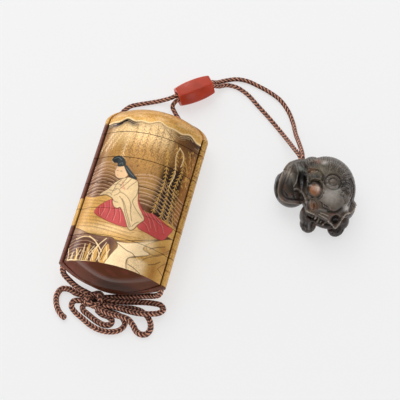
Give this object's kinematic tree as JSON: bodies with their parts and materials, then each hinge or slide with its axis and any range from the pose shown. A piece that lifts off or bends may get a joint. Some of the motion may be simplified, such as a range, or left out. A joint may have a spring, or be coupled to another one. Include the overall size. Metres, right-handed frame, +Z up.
{
  "type": "inro case",
  "caption": "Small curved box of stacked cases with a lid, strung on a braided cord with a faceted bead and a carved toggle.",
  "frame": {"origin": "middle of the narrow flat the box rests on, on the ground under its middle case", "axes": "+Y along the stack of cases towards the lid, +X across the box towards its carved toggle, +Z up out of its painted face; the box lies on its back as in the picture"},
  "size_m": [0.1289, 0.1515, 0.0252],
  "materials": {
    "gold_lacquer": "glossy",
    "red_brown_lacquer": "glossy",
    "red_bead": "polished",
    "dark_wood": "polished",
    "silk_cord": "braided"
  },
  "bodies": {
    "root": {"lid": "gold_lacquer", "case_1": "gold_lacquer", "case_2": "gold_lacquer", "case_3": "gold_lacquer", "case_4": "gold_lacquer", "case_5": "red_brown_lacquer", "bead": "red_bead", "netsuke": "dark_wood", "cord_left": "silk_cord", "cord_right": "silk_cord", "cord_in_left_runner": "silk_cord", "cord_in_right_runner": "silk_cord", "cord_foot_left": "silk_cord", "cord_foot_right": "silk_cord", "cord_tail": "silk_cord", "cord_left_loop": "silk_cord", "cord_inner_loop": "silk_cord", "cord_right_loop": "silk_cord", "cord_low_loop": "silk_cord", "cord_knot": "silk_cord"}
  },
  "joints": []
}
